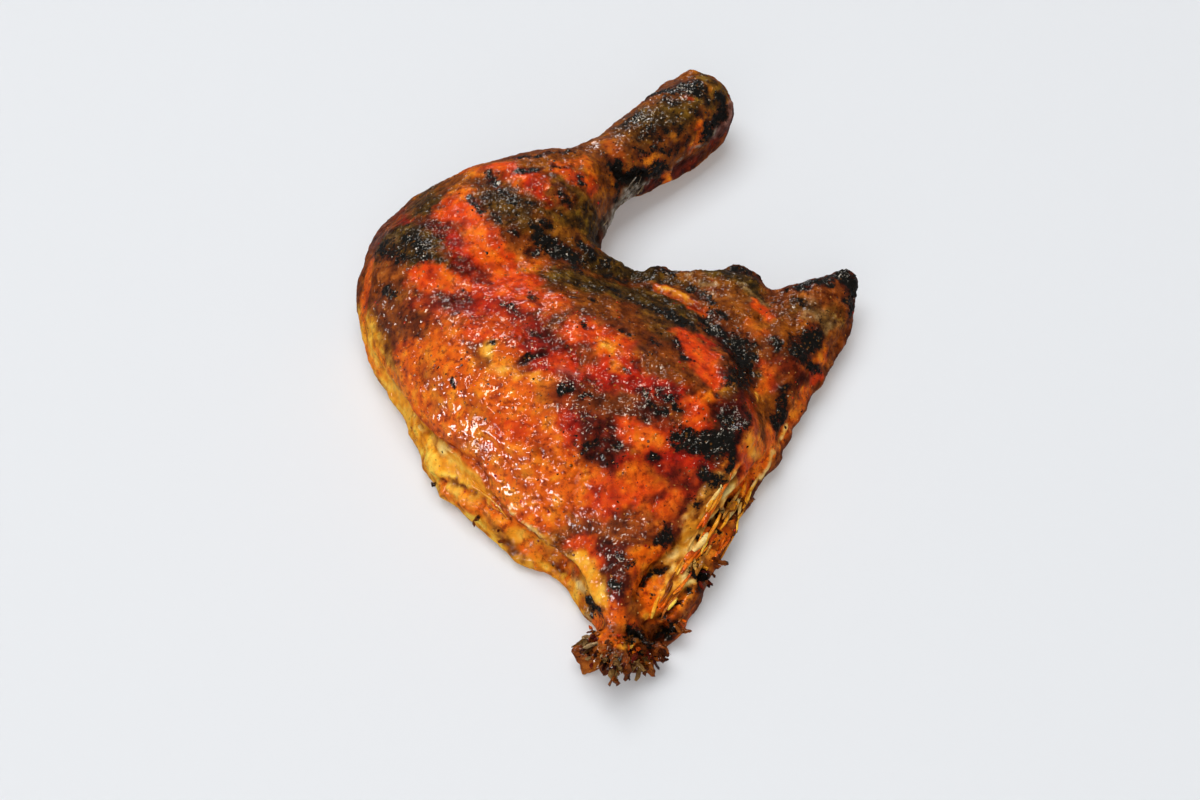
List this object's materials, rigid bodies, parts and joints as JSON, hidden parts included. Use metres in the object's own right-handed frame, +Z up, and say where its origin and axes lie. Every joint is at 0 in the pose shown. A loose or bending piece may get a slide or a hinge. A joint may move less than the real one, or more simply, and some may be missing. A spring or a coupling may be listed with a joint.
{
  "type": "roast chicken leg quarter",
  "caption": "Roast chicken leg quarter, skin side up: drumstick, thigh and a piece of the back with its tail, glazed and charred, with torn meat along two sides.",
  "frame": {"origin": "on the surface that it lies on, under the middle of its bounding box", "axes": "+X to the right as the picture shows it, +Y away from the camera, towards the ankle, +Z up"},
  "size_m": [0.1552, 0.2234, 0.0371],
  "materials": {
    "glazed_skin": "glossy orange-red glaze over browned skin, charred black in patches"
  },
  "bodies": {
    "root": {"leg_quarter": "glazed_skin"}
  },
  "joints": []
}
